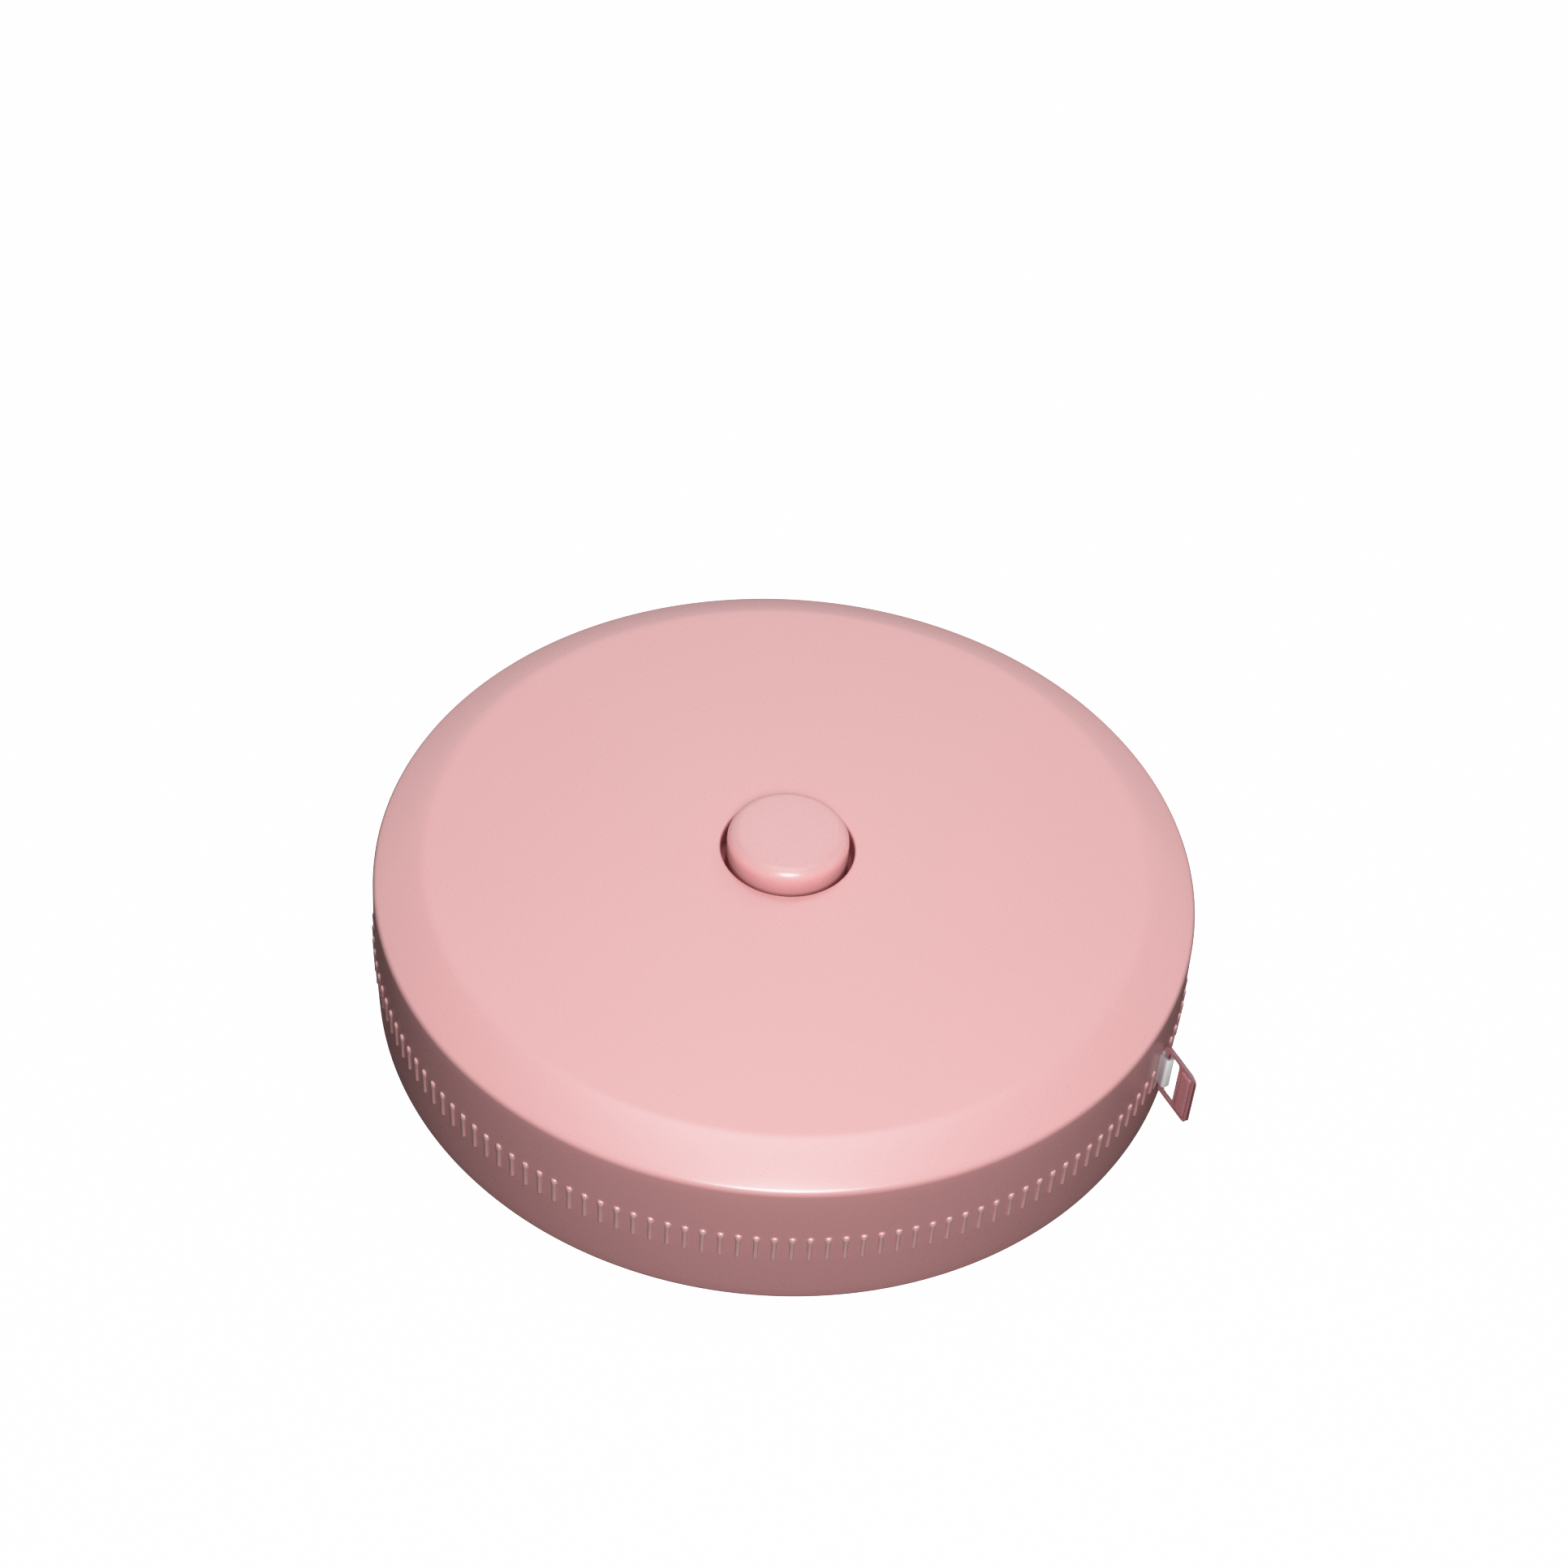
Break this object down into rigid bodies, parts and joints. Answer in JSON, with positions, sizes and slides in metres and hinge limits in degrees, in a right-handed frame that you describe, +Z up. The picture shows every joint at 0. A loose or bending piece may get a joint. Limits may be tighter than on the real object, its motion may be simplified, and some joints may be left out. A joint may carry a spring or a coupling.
{
  "type": "retractable tape measure",
  "caption": "Round pocket tape measure: domed case with a grip-rib band, push button brake and a sprung reel, and a slim tape with a windowed pull tab.",
  "frame": {"origin": "middle of the case's flat underside, on the axis of the reel and the button", "axes": "+Z up through the push button, +X the way the tape pulls out, +Y towards the side where the tape leaves the case"},
  "size_m": [0.0504, 0.0504, 0.0141],
  "materials": {
    "case_plastic": "satin pink, finely grained",
    "button_plastic": "satin pink, smoother than the case",
    "tab_plastic": "glossy darker pink",
    "tape": "coated woven tape, white with black marks",
    "reel_plastic": "natural white nylon",
    "brake_rubber": "dark friction rubber",
    "steel": "plain steel",
    "spring_steel": "dark spring steel"
  },
  "bodies": {
    "case": {"top_shell": "case_plastic", "bottom_shell": "case_plastic", "centre_post": "steel", "thrust_washer": "reel_plastic", "mouth_pin_inner": "steel", "mouth_pin_outer": "steel", "power_spring": "spring_steel", "button_spring": "spring_steel", "case_screw_1": "steel", "case_screw_2": "steel", "case_screw_3": "steel"},
    "button": {"release_button": "button_plastic", "brake_disc": "reel_plastic", "brake_pad": "brake_rubber"},
    "spool": {"reel": "reel_plastic", "reel_cover": "reel_plastic", "tape_winding": "tape", "tape_outer_turn": "tape"},
    "tape_end": {"tape_run": "tape", "tape_loop": "tape", "pull_tab": "tab_plastic"}
  },
  "joints": [
    {"name": "button_press", "type": "slide", "parent": "case", "child": "button", "axis": [0, 0, -1], "range_m": [0, 0.0012], "stiffness_N_per_m": 400, "springref_m": -0.003, "deforming": ["button_spring"]},
    {"name": "tape_pull", "type": "slide", "parent": "case", "child": "tape_end", "axis": [1, 0, 0], "range_m": [0, 1.5], "deforming": ["tape_run"]},
    {"name": "spool_spin", "type": "hinge", "parent": "case", "child": "spool", "pos_m": [0, 0, 0], "axis": [0, 0, 1], "range_deg": [-6340, 0], "deforming": ["power_spring"]}
  ],
  "couplings": [
    {"joint": "spool_spin", "follows": "tape_pull", "rad_per_m": -73.7}
  ]
}
